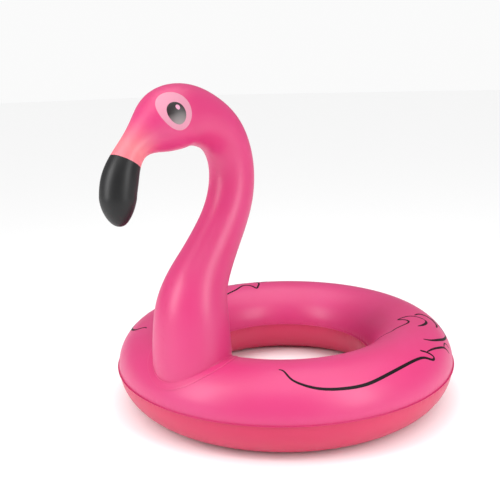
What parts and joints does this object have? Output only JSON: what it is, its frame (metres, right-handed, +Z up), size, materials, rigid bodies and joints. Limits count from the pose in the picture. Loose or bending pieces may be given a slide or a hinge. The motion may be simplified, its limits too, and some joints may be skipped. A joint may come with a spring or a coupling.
{
  "type": "inflatable pool float",
  "caption": "Inflatable swim ring with a flamingo neck and head, two film sheets per chamber and push-in valves that pull out, open and close.",
  "frame": {"origin": "centre of the hole that the swimmer sits in, at the level of the ground that the float stands on", "axes": "+Z up, the bird faces -Y, its left side is +X"},
  "size_m": [1.059, 1.1932, 0.9701],
  "materials": {
    "pink_film": "gloss",
    "pink_film_lower": "gloss",
    "black_film": "satin",
    "clear_valve_vinyl": "satin"
  },
  "bodies": {
    "float": {"ring_top_sheet": "pink_film", "ring_bottom_sheet": "pink_film_lower", "neck_left_panel": "pink_film", "neck_right_panel": "pink_film", "bill_left_panel": "black_film", "bill_right_panel": "black_film", "neck_foot_band": "pink_film", "ring_valve_flange": "clear_valve_vinyl", "ring_valve_boot": "clear_valve_vinyl", "neck_valve_flange": "clear_valve_vinyl", "neck_valve_boot": "clear_valve_vinyl"},
    "ring_stem": {"ring_valve_stem": "clear_valve_vinyl"},
    "ring_stopper": {"ring_valve_stopper": "clear_valve_vinyl", "ring_valve_tether": "clear_valve_vinyl"},
    "ring_flap": {"ring_valve_flap": "clear_valve_vinyl"},
    "neck_stem": {"neck_valve_stem": "clear_valve_vinyl"},
    "neck_stopper": {"neck_valve_stopper": "clear_valve_vinyl", "neck_valve_tether": "clear_valve_vinyl"},
    "neck_flap": {"neck_valve_flap": "clear_valve_vinyl"}
  },
  "joints": [
    {"name": "ring_stem_pull", "type": "slide", "parent": "float", "child": "ring_stem", "axis": [-0.5787, 0.6896, 0.4354], "range_m": [0, 0.012], "deforming": ["ring_valve_boot"]},
    {"name": "ring_stopper_swing", "type": "hinge", "parent": "ring_stem", "child": "ring_stopper", "pos_m": [-0.32758, 0.3904, 0.1827], "axis": [0.766, 0.6428, 0], "range_deg": [0, 120]},
    {"name": "ring_flap_swing", "type": "hinge", "parent": "ring_stem", "child": "ring_flap", "pos_m": [-0.31999, 0.38135, 0.16876], "axis": [-0.766, -0.6428, 0], "range_deg": [0, 60]},
    {"name": "neck_stem_pull", "type": "slide", "parent": "float", "child": "neck_stem", "axis": [-0.9904, 0.0789, 0.1131], "range_m": [0, 0.012], "deforming": ["neck_valve_boot"]},
    {"name": "neck_stopper_swing", "type": "hinge", "parent": "neck_stem", "child": "neck_stopper", "pos_m": [-0.0776, -0.33595, 0.49316], "axis": [0.0795, 0.9968, 0], "range_deg": [0, 120]},
    {"name": "neck_flap_swing", "type": "hinge", "parent": "neck_stem", "child": "neck_flap", "pos_m": [-0.06189, -0.3372, 0.48392], "axis": [-0.0795, -0.9968, 0], "range_deg": [0, 60]}
  ]
}
